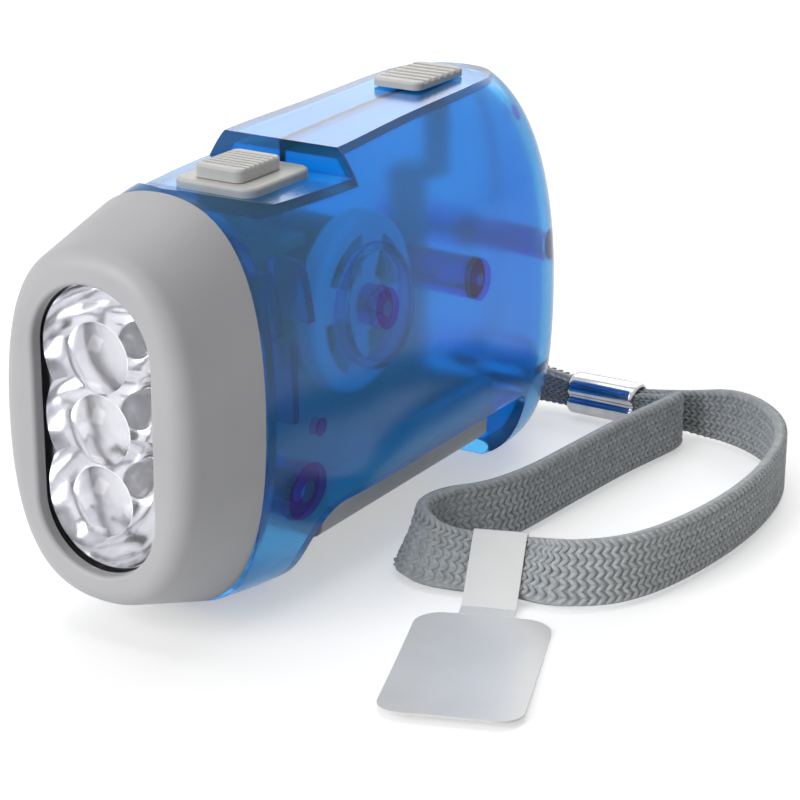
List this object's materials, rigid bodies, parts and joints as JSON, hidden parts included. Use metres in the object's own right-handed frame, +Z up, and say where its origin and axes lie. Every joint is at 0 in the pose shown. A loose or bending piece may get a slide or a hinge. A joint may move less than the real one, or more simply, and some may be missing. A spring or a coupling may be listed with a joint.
{
  "type": "hand crank flashlight",
  "caption": "Hand-powered dynamo torch: squeezing the lever spins a flywheel generator that lights the lamps in the grey head; with wrist strap.",
  "frame": {"origin": "under the middle of the torch, on the surface that it stands on", "axes": "+X forward to the lamps, +Y to the torch's left, +Z up"},
  "size_m": [0.113, 0.0753, 0.0606],
  "materials": {
    "shell_blue": "translucent blue shell",
    "head_grey": "satin light grey",
    "window_clear": "clear moulded window",
    "reflector_silver": "vacuum-metallised",
    "lamp_clear": "clear epoxy lamp",
    "board_green": "circuit board",
    "slider_grey": "satin grey",
    "switch_metal": "bright",
    "steel": "bright steel",
    "lever_grey": "satin grey",
    "gear_white": "natural nylon",
    "flywheel_pale": "pale plastic",
    "magnet_dark": "ferrite",
    "copper": "enamelled copper wire",
    "bobbin_white": "moulded nylon",
    "crimp_chrome": "polished",
    "strap_grey": "braided grey cord",
    "tag_paper": "glossy card"
  },
  "bodies": {
    "housing": {"shell_left": "shell_blue", "shell_right": "shell_blue", "head_bezel": "head_grey", "lens_window": "window_clear", "reflector": "reflector_silver", "lamp_top": "lamp_clear", "lamp_middle": "lamp_clear", "lamp_bottom": "lamp_clear", "lamp_board": "board_green", "circuit_board": "board_green", "slide_switch": "switch_metal", "button_cells": "steel", "switch_plate": "slider_grey", "case_screws": "steel", "strap_pin": "steel", "pivot_pin": "steel", "lever_spring": "steel", "first_axle": "steel", "second_axle": "steel", "stator": "steel", "coil_bobbin": "bobbin_white", "coil_winding": "copper", "strap_stem": "strap_grey", "strap_loop": "strap_grey", "strap_crimp": "crimp_chrome", "hang_tag": "tag_paper"},
    "lever": {"squeeze_lever": "lever_grey"},
    "first_gear_body": {"first_gear": "gear_white"},
    "second_gear_body": {"second_gear": "gear_white"},
    "rotor": {"rotor_pinion": "gear_white", "flywheel": "flywheel_pale", "magnet_ring": "magnet_dark", "rotor_axle": "steel"},
    "light_button_body": {"light_button": "slider_grey"},
    "lock_slider_body": {"lock_slider": "slider_grey"}
  },
  "joints": [
    {"name": "lever_hinge", "type": "hinge", "parent": "housing", "child": "lever", "pos_m": [0.0263, 0, 0.016], "axis": [0, -1, 0], "range_deg": [0, 25], "stiffness_Nm_per_rad": 0.05, "springref_deg": 28.65},
    {"name": "first_gear_spin", "type": "hinge", "parent": "housing", "child": "first_gear_body", "pos_m": [-0.00542, 0, 0.0251], "axis": [0, -1, 0], "continuous": true},
    {"name": "second_gear_spin", "type": "hinge", "parent": "housing", "child": "second_gear_body", "pos_m": [0.00696, 0, 0.02451], "axis": [0, -1, 0], "continuous": true},
    {"name": "rotor_spin", "type": "hinge", "parent": "housing", "child": "rotor", "pos_m": [0.0075, 0, 0.0365], "axis": [0, -1, 0], "continuous": true},
    {"name": "light_slide", "type": "slide", "parent": "housing", "child": "light_button_body", "axis": [-1, 0, 0], "range_m": [0, 0.003]},
    {"name": "lock_slide", "type": "slide", "parent": "housing", "child": "lock_slider_body", "axis": [1, 0, 0], "range_m": [0, 0.003]}
  ],
  "couplings": [
    {"joint": "first_gear_spin", "follows": "lever_hinge", "ratio": 7.6},
    {"joint": "second_gear_spin", "follows": "lever_hinge", "ratio": -18.578},
    {"joint": "rotor_spin", "follows": "lever_hinge", "ratio": 55.733}
  ]
}
